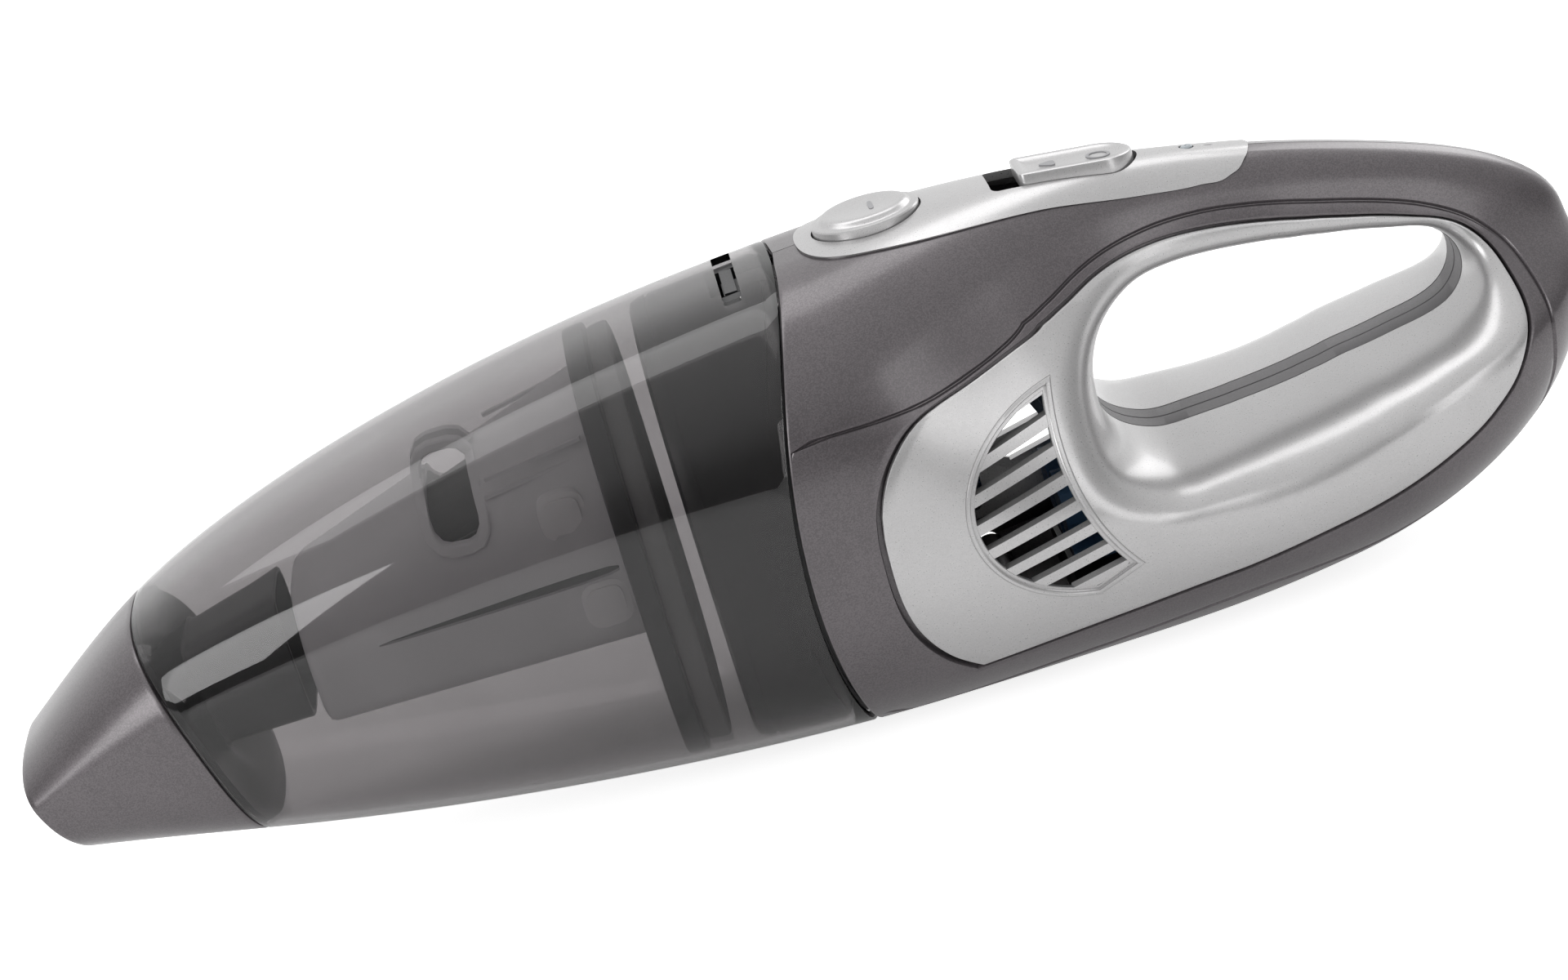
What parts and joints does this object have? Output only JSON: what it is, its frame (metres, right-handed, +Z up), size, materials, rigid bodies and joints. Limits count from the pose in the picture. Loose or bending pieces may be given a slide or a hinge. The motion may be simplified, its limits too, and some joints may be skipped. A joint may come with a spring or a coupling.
{
  "type": "handheld vacuum cleaner",
  "caption": "Cordless handheld vacuum with a smoked dust cup, looped grip, vented silver side panels, slide switch and cup release button.",
  "frame": {"origin": "centre of the box round the whole object, at the plane it rests on", "axes": "+X along the length towards the tail of the handle (the suction mouth faces -X), +Y to the right side, +Z up"},
  "size_m": [0.418, 0.1102, 0.1269],
  "materials": {
    "taupe": "satin metallic taupe paint",
    "silver": "satin silver paint",
    "smoke": "clear smoked",
    "black": "satin black",
    "cage": "satin grey",
    "pale": "matte pale",
    "rubber": "matte black",
    "cloth": "pleated",
    "steel": "plain",
    "board": "printed board",
    "cell": "shrink-wrapped cell",
    "lamp": "clear red"
  },
  "bodies": {
    "body": {"left_housing": "taupe", "right_housing": "taupe", "left_side_panel": "silver", "right_side_panel": "silver", "left_vent_grille": "silver", "right_vent_grille": "silver", "grip_strip": "black", "control_panel": "silver", "motor_bulkhead": "black", "motor": "steel", "motor_ring_front": "rubber", "motor_ring_rear": "rubber", "fan_cover": "black", "battery_cell_1": "cell", "battery_cell_2": "cell", "battery_cell_3": "cell", "battery_cell_4": "cell", "battery_tray": "black", "circuit_board": "board", "switch_block": "black", "latch_pin": "steel", "latch_spring": "steel", "indicator_led": "lamp", "charge_contact_left": "steel", "charge_contact_right": "steel", "housing_screw_1": "steel", "housing_screw_2": "steel", "housing_screw_3": "steel", "housing_screw_4": "steel"},
    "cup": {"nozzle": "taupe", "dust_cup": "smoke", "inlet_duct": "black"},
    "flap": {"inlet_flap": "rubber"},
    "filter": {"filter_frame": "cage", "filter_cloth": "cloth", "filter_flange": "black", "filter_gasket": "pale"},
    "button": {"release_button": "silver"},
    "latch": {"cup_latch": "black"},
    "switch": {"power_switch": "silver"},
    "fan": {"motor_shaft": "steel", "fan_impeller": "black"}
  },
  "joints": [
    {"name": "cup_release", "type": "slide", "parent": "body", "child": "cup", "axis": [-1, 0, 0], "range_m": [0, 0.22]},
    {"name": "filter_pull", "type": "slide", "parent": "body", "child": "filter", "axis": [-1, 0, 0], "range_m": [0, 0.11]},
    {"name": "button_press", "type": "slide", "parent": "body", "child": "button", "axis": [0, 0, -1], "range_m": [0, 0.0025], "stiffness_N_per_m": 600, "springref_m": -0.001},
    {"name": "latch_pivot", "type": "hinge", "parent": "body", "child": "latch", "pos_m": [0.06112, 0, 0.11434], "axis": [0, -1, 0], "range_deg": [0, 4.58]},
    {"name": "switch_slide", "type": "slide", "parent": "body", "child": "switch", "axis": [-0.993, 0, 0.1184], "range_m": [0, 0.0065]},
    {"name": "fan_spin", "type": "hinge", "parent": "body", "child": "fan", "pos_m": [-0.0211, 0, 0.058], "axis": [1, 0, 0], "continuous": true},
    {"name": "flap_swing", "type": "hinge", "parent": "cup", "child": "flap", "pos_m": [-0.157, 0, 0.0678], "axis": [0, -1, 0], "range_deg": [0, 50], "stiffness_Nm_per_rad": 0.0005}
  ],
  "couplings": [
    {"joint": "filter_pull", "follows": "cup_release", "ratio": 0.5},
    {"joint": "latch_pivot", "follows": "button_press", "rad_per_m": 32}
  ]
}
